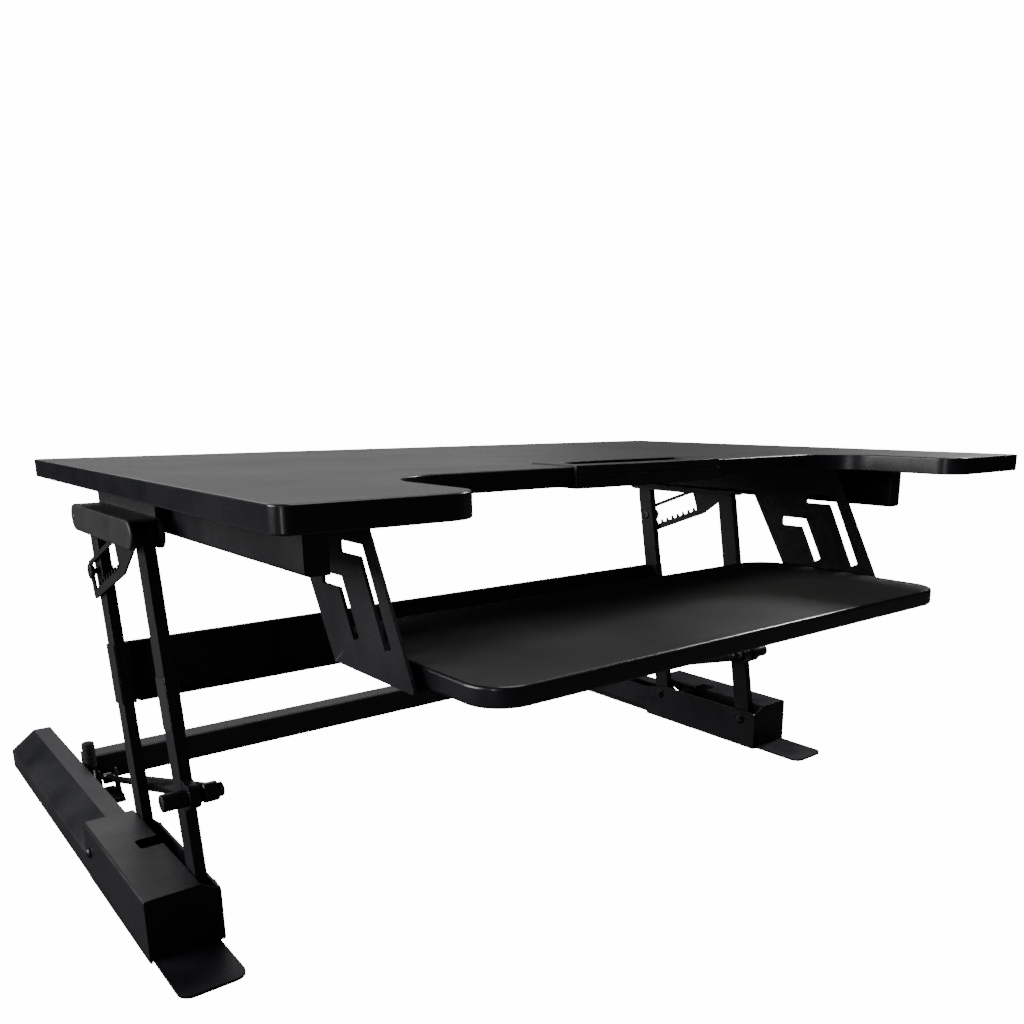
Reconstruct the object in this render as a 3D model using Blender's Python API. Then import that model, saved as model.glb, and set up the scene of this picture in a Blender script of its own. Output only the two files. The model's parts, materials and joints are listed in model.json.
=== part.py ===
"""Standing desk converter with a parallelogram lift.

X is the width, +Y the back and +Z up, in metres. The origin is on the table, under the middle of the
footprint. The model is at its raised height. Each side repeats the same pieces, mirrored in X.
"""

import math

import bmesh
import bpy
from mathutils import Matrix, Vector

# ---------------------------------------------------------------- dimensions
TOP_HALF = 0.445          # half width of the work surface
TOP_Z = 0.443             # upper face of the work surface, raised
BOARD = 0.018
TOP_FRONT, TOP_BACK = -0.4763, 0.1542
RECESS_HALF, RECESS_Y = 0.301, -0.3206
INSERT_HALF, INSERT_BACK = 0.098, -0.2586

TRAY_HALF, TRAY_TOP, TRAY_T = 0.3017, 0.3055, 0.017
TRAY_FRONT, TRAY_BACK = -0.474, -0.224

LEAN = math.radians(9.0)  # the arms lean back by this when raised
ARM = 0.345               # between an arm's two pivots
ARM_HALF = 0.013          # half the depth of an arm
LOW_Z = 0.0435
LOW_FRONT, LOW_REAR = -0.127, 0.0399
HIGH_Z = LOW_Z + ARM * math.cos(LEAN)
HIGH_FRONT = LOW_FRONT + ARM * math.sin(LEAN)
HIGH_REAR = LOW_REAR + ARM * math.sin(LEAN)
ARM_X = (0.3990, 0.4100)    # both arms are in one layer
STRUT_X = (0.4115, 0.4135)  # and the ratchet strut outside them
BOLT_R = 0.004

PANEL_S = (0.145, 0.2105)   # along the rear arm
SLEEVE_S = (0.160, 0.211)   # along the front arm
CROSS_S, CROSS_V = 0.0987, -0.0225  # cross pin: along the front arm and in front of its centre line
PIN_R, PIN_BELOW = 0.003, 0.056

SPRING_X = 0.3880
SPRING_END = (0.272, 0.029)  # rear end of the gas spring, y and z

FOOT_FRONT, FOOT_BACK = -0.2305, 0.4763
RAIL_X = (0.3995, 0.4590)
PAD_T, PLATE_Z = 0.002, (0.0023, 0.0053)
CASE_Y, CASE_Z = (-0.1555, 0.060), 0.0654
COVER_Z = 0.050
OUTER_X = 0.4625
BEAM_Y, BEAM_Z = (0.3055, 0.3350), (0.0145, 0.0515)

for old in list(bpy.data.objects):
    bpy.data.objects.remove(old, do_unlink=True)


# ---------------------------------------------------------------- materials
def material(name, color, rough, metal):
    made = bpy.data.materials.new(name)
    made.use_nodes = True
    shader = made.node_tree.nodes["Principled BSDF"]
    shader.inputs["Base Color"].default_value = (*color, 1)
    shader.inputs["Roughness"].default_value = rough
    shader.inputs["Metallic"].default_value = metal
    return made


LAMINATE = material("black laminate", (0.012, 0.012, 0.013), 0.45, 0)
POWDER = material("black powder coat", (0.010, 0.010, 0.012), 0.42, 0)
PLASTIC = material("black plastic", (0.010, 0.010, 0.010), 0.5, 0)
GLOSSY = material("glossy black", (0.006, 0.006, 0.007), 0.12, 0)
STEEL = material("black zinc steel", (0.06, 0.06, 0.065), 0.3, 1)
RUBBER = material("black rubber", (0.015, 0.015, 0.015), 0.85, 0)


# ---------------------------------------------------------------- making shapes
def obj(name, bm, mat, side=1, origin=(0, 0, 0), turn=0.0):
    """An object from a bmesh in the frame of origin, turned about X. side -1 is the mirrored copy."""
    bmesh.ops.recalc_face_normals(bm, faces=bm.faces)
    if side < 0:
        bmesh.ops.scale(bm, vec=(-1, 1, 1), verts=bm.verts)
        bmesh.ops.reverse_faces(bm, faces=bm.faces)
    mesh = bpy.data.meshes.new(name)
    bm.to_mesh(mesh)
    bm.free()
    made = bpy.data.objects.new(name, mesh)
    bpy.context.scene.collection.objects.link(made)
    made.location = (origin[0] * side, origin[1], origin[2])
    made.rotation_euler = (turn, 0, 0)
    if mat:
        mesh.materials.append(mat)
    return made


def extrude(points, axis, a, b, bm=None):
    """A prism on a closed outline. The outline is (y, z) for axis X, (x, z) for Y, (x, y) for Z."""
    bm = bm or bmesh.new()

    def at(p, h):
        return {"X": (h, p[0], p[1]), "Y": (p[0], h, p[1]), "Z": (p[0], p[1], h)}[axis]

    low = [bm.verts.new(at(p, a)) for p in points]
    high = [bm.verts.new(at(p, b)) for p in points]
    bm.faces.new(low)
    bm.faces.new(high[::-1])
    for i in range(len(points)):
        j = (i + 1) % len(points)
        bm.faces.new((low[j], low[i], high[i], high[j]))
    bmesh.ops.recalc_face_normals(bm, faces=bm.faces)
    return bm


def box(x, y, z):
    return extrude([(x[0], y[0]), (x[1], y[0]), (x[1], y[1]), (x[0], y[1])], "Z", *z)


def rounded(points, steps=6):
    """The outline with each corner (x, y, radius) turned into an arc."""
    out = []
    n = len(points)
    for i in range(n):
        p = Vector(points[i][:2])
        r = points[i][2] if len(points[i]) > 2 else 0
        if not r:
            out.append(tuple(p))
            continue
        a = (Vector(points[i - 1][:2]) - p).normalized()
        b = (Vector(points[(i + 1) % n][:2]) - p).normalized()
        half = a.angle(b) / 2
        reach = r / math.tan(half)
        centre = p + (a + b).normalized() * (r / math.sin(half))
        start, end = p + a * reach - centre, p + b * reach - centre
        sweep = start.angle_signed(end)
        for k in range(steps + 1):
            t = -sweep * k / steps
            c, s = math.cos(t), math.sin(t)
            out.append((centre.x + start.x * c - start.y * s, centre.y + start.x * s + start.y * c))
    return out


def ring(r, n=20, centre=(0, 0)):
    return [(centre[0] + r * math.cos(2 * math.pi * k / n), centre[1] + r * math.sin(2 * math.pi * k / n)) for k in range(n)]


def rod(r, a, b, centre=(0, 0), axis="X", n=20):
    return extrude(ring(r, n, centre), axis, a, b)


def turned(profile, centre=(0, 0), n=20):
    """A solid of revolution about an axis along X. The profile is (x, radius), closed on the axis at its ends."""
    bm = bmesh.new()
    loops = []
    for x, r in profile:
        loops.append([bm.verts.new((x, centre[0] + r * math.cos(2 * math.pi * k / n), centre[1] + r * math.sin(2 * math.pi * k / n))) for k in range(n)])
    bm.faces.new(loops[0])
    bm.faces.new(loops[-1][::-1])
    for one, two in zip(loops, loops[1:]):
        for k in range(n):
            j = (k + 1) % n
            bm.faces.new((one[j], one[k], two[k], two[j]))
    return bm


def sheet(line, t):
    """The closed outline of a bent sheet: an open line of points and the same line set off by t to its left."""
    pts = [Vector(p) for p in line]
    off = []
    for i, p in enumerate(pts):
        before = (p - pts[i - 1]).normalized() if i else None
        after = (pts[i + 1] - p).normalized() if i + 1 < len(pts) else None
        one = before or after
        two = after or before
        n1, n2 = Vector((-one.y, one.x)), Vector((-two.y, two.x))
        m = (n1 + n2).normalized()
        off.append(p + m * (t / max(0.2, m.dot(n1))))
    return [tuple(p) for p in pts] + [tuple(p) for p in reversed(off)]


def helper(bm, side, origin, turn, name):
    cutter = obj(name, bm, None, side, origin, turn)
    cutter.hide_render = True
    cutter.display_type = "WIRE"
    return cutter


def apply_boolean(target, bms, operation, side=1, origin=(0, 0, 0), turn=0.0):
    """Cuts or joins shapes given in the target's frame."""
    for k, bm in enumerate(bms):
        tool = helper(bm, side, origin, turn, f"{target.name}_{operation.lower()}_{k}")
        mod = target.modifiers.new(f"{operation.lower()}_{k}", "BOOLEAN")
        mod.operation = operation
        mod.solver = "EXACT"
        mod.object = tool
    return target


def bevel(target, width, segments=2, angle=40):
    mod = target.modifiers.new("edge", "BEVEL")
    mod.width = width
    mod.segments = segments
    mod.limit_method = "ANGLE"
    mod.angle_limit = math.radians(angle)
    return target


SIDES = (("left", -1), ("right", 1))

# ---------------------------------------------------------------- work surface and insert
R, F, B = RECESS_HALF, TOP_FRONT, TOP_BACK
outline = [
    (-TOP_HALF, B, 0.010), (-TOP_HALF, F, 0.012), (-R, F, 0.028), (-R, RECESS_Y, 0.060),
    (-INSERT_HALF, RECESS_Y, 0), (-INSERT_HALF, INSERT_BACK, 0), (INSERT_HALF, INSERT_BACK, 0), (INSERT_HALF, RECESS_Y, 0),
    (R, RECESS_Y, 0.060), (R, F, 0.028), (TOP_HALF, F, 0.012), (TOP_HALF, B, 0.010),
]
desktop = obj("desktop", extrude(rounded(outline, 7), "Z", TOP_Z - BOARD, TOP_Z), LAMINATE)
bevel(desktop, 0.0015, 1, 50)

# the insert fills the notch at the middle of the recess: a bowed front lip and a slot that holds a device upright
HW = INSERT_HALF - 0.0006
bow = [(HW * (1 - k / 6), RECESS_Y - 0.004 - 0.005 * math.sin(math.pi * k / 12)) for k in range(13)]
insert = obj("device_insert", extrude([(-HW, INSERT_BACK - 0.0006), (HW, INSERT_BACK - 0.0006)] + bow, "Z", TOP_Z - 0.0200, TOP_Z + 0.0012), PLASTIC)
bevel(insert, 0.0015, 1, 50)
lens = [(-0.084 + 0.168 * k / 12, -0.3050 - 0.006 * math.sin(math.pi * k / 12)) for k in range(13)]
lens += [(0.084 - 0.168 * k / 12, -0.2790 + 0.008 * math.sin(math.pi * k / 12)) for k in range(13)]
apply_boolean(insert, [extrude(lens, "Z", TOP_Z - 0.0110, TOP_Z + 0.010)], "DIFFERENCE")

# ---------------------------------------------------------------- keyboard tray
tray = obj(
    "keyboard_tray",
    extrude(
        rounded([(-TRAY_HALF, TRAY_FRONT, 0.034), (TRAY_HALF, TRAY_FRONT, 0.034), (TRAY_HALF, TRAY_BACK, 0.045), (-TRAY_HALF, TRAY_BACK, 0.045)], 8),
        "Z", TRAY_TOP - TRAY_T, TRAY_TOP,
    ),
    LAMINATE,
)
bevel(tray, 0.0015, 1, 50)


def bracket_edge(z, y_at, z_at):
    """y of a slanted edge of the tray bracket at height z."""
    return y_at + (z - z_at) * 0.52


def tray_bracket(name, side):
    z_top, z_low = TOP_Z - BOARD - 0.0004, TRAY_TOP - TRAY_T - 0.0028
    front = lambda z: bracket_edge(z, -0.3295, 0.4076)
    rear = lambda z: bracket_edge(z, -0.2071, 0.3910)
    face = [(front(z_low), z_low), (rear(z_low), z_low), (rear(z_top) + 0.012, z_top), (front(z_top), z_top)]
    made = obj(name, extrude(face, "X", 0.3105, 0.3135), POWDER, side)
    joins = [
        box((0.3110, 0.3420), (front(z_top) + 0.004, rear(z_top) + 0.008), (z_top - 0.0028, z_top)),
        box((0.2760, 0.3130), (front(z_low) + 0.004, rear(z_low) - 0.004), (z_low, z_low + 0.0024)),
    ]

    def slot(points, w=0.0052):
        line = [Vector(p) for p in points]
        return extrude(sheet([tuple(p) for p in line], w * 2), "X", 0.300, 0.330)

    f = lambda z, d: front(z) + d
    cuts = [
        slot([(f(0.392, 0.056), 0.392), (f(0.392, 0.016), 0.392), (f(0.315, 0.018), 0.315)]),
        slot([(f(0.366, 0.104), 0.362), (f(0.366, 0.068), 0.362), (f(0.315, 0.070), 0.315)]),
    ]
    apply_boolean(made, joins, "UNION", side)
    return apply_boolean(made, cuts, "DIFFERENCE", side)


def side_rail(name, side):
    """A channel under the wing, open towards the middle, with a front cap."""
    z0, z1 = 0.3795, TOP_Z - BOARD - 0.0004
    y0, y1 = -0.365, 0.120
    made = obj(name, extrude(sheet([(0.3615, z1), (0.3815, z1), (0.3815, z0), (0.3615, z0)][::-1], 0.0024), "Y", y0, y1), POWDER, side)
    cap = box((0.3618, 0.3812), (y0, y0 + 0.0024), (z0 + 0.0005, z1 - 0.0005))
    return apply_boolean(made, [cap], "UNION", side)


def upper_housing(name, side):
    """A slim shell over the top pivots, open below, hung from the board by its inner wall."""
    half = 0.0140
    ends = (HIGH_FRONT - 0.010, HIGH_REAR + 0.012)

    def stadium(r, n=10):
        pts = [(ends[1] + r * math.cos(math.pi / 2 - math.pi * k / n), HIGH_Z + r * math.sin(math.pi / 2 - math.pi * k / n)) for k in range(n + 1)]
        pts += [(ends[0] + r * math.cos(-math.pi / 2 - math.pi * k / n), HIGH_Z + r * math.sin(-math.pi / 2 - math.pi * k / n)) for k in range(n + 1)]
        return pts

    made = obj(name, extrude(stadium(half), "X", 0.3922, 0.4225), PLASTIC, side)
    top = TOP_Z - BOARD - 0.0004
    hang = box((0.3925, 0.3955), (HIGH_FRONT - 0.010, HIGH_REAR + 0.018), (HIGH_Z, top))
    flange = box((0.3927, 0.4180), (HIGH_FRONT - 0.012, HIGH_REAR + 0.020), (top - 0.003, top))
    # the hollow lets the arms and the strut swing forwards
    up = half - 0.0022
    hollow = extrude([(ends[0] - 0.06, HIGH_Z - 0.05), (ends[1] + 0.0085, HIGH_Z - 0.05), (ends[1] + 0.0085, HIGH_Z + 0.004), (ends[1] + 0.001, HIGH_Z + up), (ends[0] - 0.06, HIGH_Z + up)], "X", 0.3955, 0.4200)
    holes = [rod(BOLT_R + 0.0003, 0.38, 0.41, (y, HIGH_Z), n=16) for y in (HIGH_FRONT, HIGH_REAR)]
    apply_boolean(made, [hang, flange], "UNION", side)
    return apply_boolean(made, [hollow] + holes, "DIFFERENCE", side)


for word, side in SIDES:
    tray_bracket(f"tray_bracket_{word}", side)
    side_rail(f"side_rail_{word}", side)
    upper_housing(f"upper_housing_{word}", side)
    for end, y in (("front", HIGH_FRONT), ("rear", HIGH_REAR)):
        shape = turned([(0.3875, 0.0060), (0.3887, 0.0075), (0.3919, 0.0075), (0.3919, BOLT_R), (0.4155, BOLT_R)], n=16)
        obj(f"top_bolt_{end}_{word}", shape, STEEL, side, (0, y, HIGH_Z))


# ---------------------------------------------------------------- arms, in their own frame: Z runs up the arm
def bar(low, high, x, half, top, n=8):
    """A flat bar with round ends, its upper end narrowed to the radius top."""
    pts = [(-half, high - 0.022)] + [(-top * math.cos(math.pi * k / n), high + top * math.sin(math.pi * k / n)) for k in range(n + 1)] + [(half, high - 0.022)]
    pts += [(half * math.cos(math.pi * k / n), low - half * math.sin(math.pi * k / n)) for k in range(n + 1)]
    return extrude(pts, "X", *x)


for word, side in SIDES:
    origin = (0, LOW_REAR, LOW_Z)
    arm = obj(f"rear_arm_{word}", bar(0, ARM, ARM_X, ARM_HALF, 0.0105), POWDER, side, origin, -LEAN)
    cuts = [rod(BOLT_R + 0.0003, 0.38, 0.42, (0, 0), n=16), rod(BOLT_R + 0.0003, 0.38, 0.42, (0, ARM), n=16), rod(PIN_R + 0.0003, 0.38, 0.42, (0, ARM - PIN_BELOW), n=16)]
    apply_boolean(arm, cuts, "DIFFERENCE", side, origin, -LEAN)
    pin = turned([(0.3962, 0.0055), (0.3987, 0.0055), (0.3987, PIN_R), (0.4139, PIN_R), (0.4144, 0.0050), (0.4158, 0.0085), (0.4185, 0.0085), (0.4195, 0.0060)], (0, ARM - PIN_BELOW), 16)
    obj(f"ratchet_pin_{word}", pin, STEEL, side, origin, -LEAN)

    # the front arm has a lug in front that holds the cross pin
    origin = (0, LOW_FRONT, LOW_Z)
    arm = obj(f"front_arm_{word}", bar(0, ARM, ARM_X, ARM_HALF, 0.0105), POWDER, side, origin, -LEAN)
    lug = [(CROSS_V + 0.0118 * math.cos(math.pi / 2 + math.pi * k / 8), CROSS_S + 0.0118 * math.sin(math.pi / 2 + math.pi * k / 8)) for k in range(9)]
    lug += [(-0.010, CROSS_S - 0.0160), (-0.010, CROSS_S + 0.0160)]
    drums = [rod(0.0112, 0.3962, 0.4000, (0, ARM)), rod(0.0112, 0.4090, 0.4111, (0, ARM))]
    apply_boolean(arm, [extrude(lug, "X", ARM_X[0] + 0.0006, ARM_X[1] - 0.0006)] + drums, "UNION", side, origin, -LEAN)
    cuts = [rod(BOLT_R + 0.0003, 0.38, 0.43, (0, 0), n=16), rod(BOLT_R + 0.0003, 0.38, 0.43, (0, ARM), n=16), rod(0.0088, 0.38, 0.43, (CROSS_V, CROSS_S), n=20)]
    apply_boolean(arm, cuts, "DIFFERENCE", side, origin, -LEAN)
    x0, x1 = ARM_X[0] - 0.0003, ARM_X[1] + 0.0003
    v = ARM_HALF + 0.0003
    sleeve = obj(f"arm_sleeve_{word}", box((x0 - 0.0006, x1 + 0.0006), (-v - 0.0008, v + 0.0008), SLEEVE_S), GLOSSY, side, origin, -LEAN)
    apply_boolean(sleeve, [box((x0, x1), (-v, v), (0.1, 0.3))], "DIFFERENCE", side, origin, -LEAN)
    cross = turned([(0.3753, 0.0056), (0.3765, 0.0072), (0.3793, 0.0072), (0.3793, 0.0048), (0.3968, 0.0048), (0.3968, 0.0085), (0.4310, 0.0085), (0.4325, 0.0072)], (CROSS_V, CROSS_S), 20)
    obj(f"cross_pin_{word}", cross, POWDER, side, origin, -LEAN)

# the panel between the rear arms: a web behind them, flanges along its edges and a leaf beside each arm
origin = (0, LOW_REAR, LOW_Z)
s0, s1 = PANEL_S
web_v = (ARM_HALF + 0.0005, ARM_HALF + 0.0035)
panel = obj("cross_panel", box((-0.4110, 0.4110), web_v, PANEL_S), POWDER, 1, origin, -LEAN)
joins = [box((-0.3900, 0.3900), (-0.004, web_v[1] - 0.0002), (s0 + 0.0001, s0 + 0.0029)), box((-0.3900, 0.3900), (-0.004, web_v[1] - 0.0002), (s1 - 0.0029, s1 - 0.0001))]
for side in (-1, 1):
    joins.append(box(sorted((0.4103 * side, 0.41095 * side)), (-ARM_HALF, web_v[1] - 0.0003), (s0 + 0.0002, s1 - 0.0002)))
    joins.append(box(sorted((0.3962 * side, 0.3985 * side)), (-ARM_HALF, web_v[1] - 0.0003), (s0 + 0.0003, s1 - 0.0003)))
apply_boolean(panel, joins, "UNION", 1, origin, -LEAN)


# ---------------------------------------------------------------- ratchet struts, in their own frame: Y runs along the strut
def strut():
    tip, base, under, rail_low, rail_top = -0.0126, -0.0176, -0.0262, 0.0098, 0.0146
    start, stop, teeth = 0.072, 0.180, 8
    hub = 0.0100
    outline = [(hub * math.cos(a), hub * math.sin(a)) for a in [math.pi * (0.5 + k / 10) for k in range(11)]]
    outline += [(0.058, under), (0.192, under), (0.192, rail_low - 0.002), (0.189, rail_top), (0.030, rail_top)]
    window = [(start, rail_low), (start, base)]
    pitch = 0.0118
    y = start + 0.004
    for _ in range(teeth):
        window += [(y, base), (y + 0.0012, tip), (y + 0.0034, tip), (y + 0.0050, base)]
        y += pitch
    window += [(stop, base), (stop, rail_low)]
    return outline, window


for word, side in SIDES:
    dy, dz = HIGH_REAR - HIGH_FRONT - PIN_BELOW * math.sin(LEAN), -PIN_BELOW * math.cos(LEAN)
    tilt = math.atan2(dz, dy)
    outline, window = strut()
    origin = (0, HIGH_FRONT, HIGH_Z)
    made = obj(f"ratchet_strut_{word}", extrude(outline, "X", *STRUT_X), POWDER, side, origin, tilt)
    apply_boolean(made, [rod(0.0104, 0.4125, 0.4196)], "UNION", side, origin, tilt)
    cuts = [extrude(window, "X", 0.405, 0.425), rod(BOLT_R + 0.0003, 0.405, 0.425, n=16)]
    apply_boolean(made, cuts, "DIFFERENCE", side, origin, tilt)

# ---------------------------------------------------------------- gas springs, in their own frame: Y runs back along the spring
cy = LOW_FRONT + CROSS_V * math.cos(LEAN) + CROSS_S * math.sin(LEAN)
cz = LOW_Z - CROSS_V * math.sin(LEAN) + CROSS_S * math.cos(LEAN)
reach = math.hypot(SPRING_END[0] - cy, SPRING_END[1] - cz)
slope = math.atan2(SPRING_END[1] - cz, SPRING_END[0] - cy)
x = SPRING_X
for word, side in SIDES:
    origin = (0, cy, cz)
    tube = obj(f"gas_cylinder_{word}", rod(0.0082, 0.0070, 0.265, (x, 0), "Y", 20), GLOSSY, side, origin, slope)
    apply_boolean(tube, [rod(0.0095, x - 0.0070, x + 0.0070, (0, 0), "X", 20)], "UNION", side, origin, slope)
    bore = rod(0.0062, 0.030, 0.280, (x, 0), "Y", 20)
    apply_boolean(tube, [bore, rod(0.0051, x - 0.015, x + 0.015, (0, 0), "X", 16)], "DIFFERENCE", side, origin, slope)
    piston = obj(f"gas_rod_{word}", rod(0.0040, 0.225, reach - 0.003, (x, 0), "Y", 16), STEEL, side, origin, slope)
    eye = rod(0.0070, x - 0.0050, x + 0.0050, (reach, 0), "X", 16)
    stud = rod(0.0035, x - 0.0090, x - 0.0040, (reach, 0), "X", 12)
    apply_boolean(piston, [eye, stud], "UNION", side, origin, slope)

# ---------------------------------------------------------------- base
beam_line = [(BEAM_Y[1], BEAM_Z[0]), (BEAM_Y[0], BEAM_Z[0]), (BEAM_Y[0], BEAM_Z[1]), (BEAM_Y[1], BEAM_Z[1])]
beam = obj("base_beam", extrude(sheet(beam_line[::-1], 0.0026), "X", -0.4035, 0.4035), POWDER)
plates = [box(sorted((0.4005 * s, 0.4034 * s)), (BEAM_Y[0] + 0.0004, BEAM_Y[1] - 0.0004), (BEAM_Z[0] + 0.0004, BEAM_Z[1] - 0.0004)) for s in (-1, 1)]
apply_boolean(beam, plates, "UNION")

for word, side in SIDES:
    # bottom plate with a tongue in front, tabs inside it, a low wall beside the arms, outer ears at the pivots and an upright web behind
    tab, deep = 0.3922, 0.3742
    flat = [
        (RAIL_X[1], FOOT_BACK - 0.006, 0.004), (RAIL_X[1], FOOT_FRONT, 0.012), (RAIL_X[0], FOOT_FRONT, 0.012),
        (RAIL_X[0], CASE_Y[0], 0), (tab, CASE_Y[0], 0), (tab, 0.070, 0), (RAIL_X[0], 0.070, 0),
        (RAIL_X[0], 0.246, 0), (deep, 0.246, 0), (deep, 0.3048, 0), (RAIL_X[0], 0.3048, 0),
        (RAIL_X[0], FOOT_BACK - 0.006, 0.004),
    ]
    rail = obj(f"foot_rail_{word}", extrude(rounded(flat, 4), "Z", *PLATE_Z), POWDER, side)
    joins = [box((0.4122, 0.4147), (0.075, FOOT_BACK - 0.012), (PLATE_Z[0] + 0.001, 0.040))]
    wall = [(CASE_Y[0] + 0.0005, 0.003), (0.0695, 0.003), (0.0695, 0.0470), (0.0600, 0.0500), (0.0260, 0.0560), (CASE_Y[0] + 0.0005, 0.0560)]
    joins.append(extrude(wall, "X", 0.3930, 0.3955))
    for y in (LOW_FRONT, LOW_REAR):
        for x in ((0.4114, 0.4139),):
            arch = [(y - 0.0175, 0.003), (y + 0.0175, 0.003)] + [(y + 0.0150 * math.cos(math.pi * k / 8), LOW_Z + 0.0010 + 0.0125 * math.sin(math.pi * k / 8)) for k in range(9)]
            joins.append(extrude(arch, "X", *x))
    apply_boolean(rail, joins, "UNION", side)
    apply_boolean(rail, [rod(BOLT_R + 0.0003, 0.38, 0.43, (y, LOW_Z), n=16) for y in (LOW_FRONT, LOW_REAR)], "DIFFERENCE", side)
    for end, y in (("front", LOW_FRONT), ("rear", LOW_REAR)):
        shape = turned([(0.3875, 0.0060), (0.3887, 0.0076), (0.3927, 0.0076), (0.3927, BOLT_R), (0.4160, BOLT_R)], n=16)
        obj(f"low_bolt_{end}_{word}", shape, STEEL, side, (0, y, LOW_Z))

    # rear cover: an upright side, a broad slope and a flat top, closed at the back
    t = 0.0022
    shell = [(OUTER_X - 0.0005, 0.0028), (OUTER_X - 0.0005, 0.0260), (0.4320, COVER_Z), (0.4110, COVER_Z)]
    cover = obj(f"foot_cover_{word}", extrude(sheet(shell, t), "Y", CASE_Y[1] + 0.0005, FOOT_BACK), POWDER, side)
    end = [(OUTER_X - 0.0010, 0.0030), (OUTER_X - 0.0010, 0.0255), (0.4322, COVER_Z - 0.0004), (0.4112, COVER_Z - 0.0004), (0.4112, 0.0030)]
    apply_boolean(cover, [extrude(end, "Y", FOOT_BACK - 0.0025, FOOT_BACK - 0.0002)], "UNION", side)

    # front casing: taller, with a front wall, a step at the back and a notch that clears the cross pin when lowered
    shell = [(OUTER_X, 0.0028), (OUTER_X, CASE_Z), (0.4112, CASE_Z)]
    case = obj(f"foot_casing_{word}", extrude(sheet(shell, 0.0024), "Y", *CASE_Y), POWDER, side)
    front = extrude([(OUTER_X - 0.0004, 0.0060), (OUTER_X - 0.0004, CASE_Z - 0.0003), (0.4112, CASE_Z - 0.0003), (0.3960, 0.0560), (0.3960, 0.0060)], "Y", CASE_Y[0] + 0.0002, CASE_Y[0] + 0.0026)
    step = extrude([(OUTER_X - 0.0004, 0.0270), (OUTER_X - 0.0004, CASE_Z - 0.0003), (0.4115, CASE_Z - 0.0003), (0.4115, COVER_Z + 0.0005), (0.4320, COVER_Z + 0.0005)], "Y", CASE_Y[1] - 0.0026, CASE_Y[1] - 0.0002)
    apply_boolean(case, [front, step], "UNION", side)
    apply_boolean(case, [box((0.40, 0.4330), (-0.0450, -0.0215), (0.055, 0.08))], "DIFFERENCE", side)

    bolt = turned([(OUTER_X + 0.0003, 0.0056), (OUTER_X + 0.0022, 0.0056), (OUTER_X + 0.0036, 0.0040)], n=16)
    obj(f"casing_bolt_{word}", bolt, STEEL, side, (0, 0.0420, 0.0370))

    # channel that takes the rear end of the gas spring, open above and in front
    y0, y1, z0, z1 = 0.2480, 0.2845, 0.0056, 0.0400
    u = [(0.3752, z1), (0.3752, z0), (0.3978, z0), (0.3978, z1)]
    obj(f"spring_anchor_{word}", extrude(sheet(u, 0.0022), "Y", y0, y1), POWDER, side)

    peg = turned([(0, 0.0078), (0.0060, 0.0078), (0.0060, 0.0060), (0.0400, 0.0060), (0.0400, 0.0078), (0.0680, 0.0078), (0.0702, 0.0060)], n=20)
    bmesh.ops.rotate(peg, cent=(0, 0, 0), matrix=Matrix.Rotation(-math.pi / 2, 3, "Y"), verts=peg.verts)
    obj(f"bump_stop_{word}", peg, RUBBER, side, (0.4015, 0.2940, 0.0056))

    for end, y in (("front", -0.2050), ("rear", 0.4400)):
        obj(f"pad_{end}_{word}", rod(0.011, 0, PAD_T, (0, 0), "Z", 20), RUBBER, side, (0.4300, y, 0))
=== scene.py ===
"""Looks for the standing desk converter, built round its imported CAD. Metres, X width, +Y back, Z up."""

import json
import math

import bmesh
import bpy
from mathutils import Matrix, Vector


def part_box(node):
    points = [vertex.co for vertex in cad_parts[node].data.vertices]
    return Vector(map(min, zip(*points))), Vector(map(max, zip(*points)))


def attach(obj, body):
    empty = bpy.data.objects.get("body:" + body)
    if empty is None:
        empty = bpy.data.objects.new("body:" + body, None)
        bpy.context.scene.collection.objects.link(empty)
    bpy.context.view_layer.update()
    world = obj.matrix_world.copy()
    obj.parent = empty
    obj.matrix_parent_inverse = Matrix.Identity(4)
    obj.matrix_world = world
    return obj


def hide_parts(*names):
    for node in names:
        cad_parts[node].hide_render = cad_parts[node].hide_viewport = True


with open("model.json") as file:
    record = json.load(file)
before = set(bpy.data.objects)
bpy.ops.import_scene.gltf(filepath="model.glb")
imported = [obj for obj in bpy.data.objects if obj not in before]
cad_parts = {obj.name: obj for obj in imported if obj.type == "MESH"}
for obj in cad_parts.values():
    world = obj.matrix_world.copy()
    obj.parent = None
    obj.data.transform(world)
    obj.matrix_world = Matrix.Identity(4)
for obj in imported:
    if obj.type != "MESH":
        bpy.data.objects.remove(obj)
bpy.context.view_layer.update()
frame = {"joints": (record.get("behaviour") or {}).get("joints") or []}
JOINT = {j["name"]: j for j in frame["joints"]}
SIDES = (("left", -1), ("right", 1))


# ------------------------------------------------------------------ places, from the CAD
def pivot(joint):
    return Vector(JOINT[joint]["pos_m"])


DECK_LO, DECK_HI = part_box("desktop")
TRAY_LO, TRAY_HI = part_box("keyboard_tray")
SIDE_RAIL_LO, SIDE_RAIL_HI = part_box("side_rail_right")
ROD_LO, ROD_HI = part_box("gas_rod_right")
CASE_LO, CASE_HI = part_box("foot_casing_right")
CASE_BOLT_LO, CASE_BOLT_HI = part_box("casing_bolt_right")
COVER_LO, COVER_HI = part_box("foot_cover_right")
RAIL_LO, RAIL_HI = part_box("foot_rail_right")
BEAM_LO, BEAM_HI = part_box("base_beam")
ANCHOR_LO, ANCHOR_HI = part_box("spring_anchor_right")
STOP_LO, STOP_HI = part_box("bump_stop_right")

LOW_REAR, HIGH_REAR = pivot("lift"), pivot("deck_level")
LOW_FRONT, HIGH_FRONT = pivot("front_arm_left_swing"), pivot("strut_left_swing")
CROSS = pivot("spring_left_swing")
ARM = (HIGH_REAR - LOW_REAR).length
LEAN = math.atan2(HIGH_REAR.y - LOW_REAR.y, HIGH_REAR.z - LOW_REAR.z)

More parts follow.
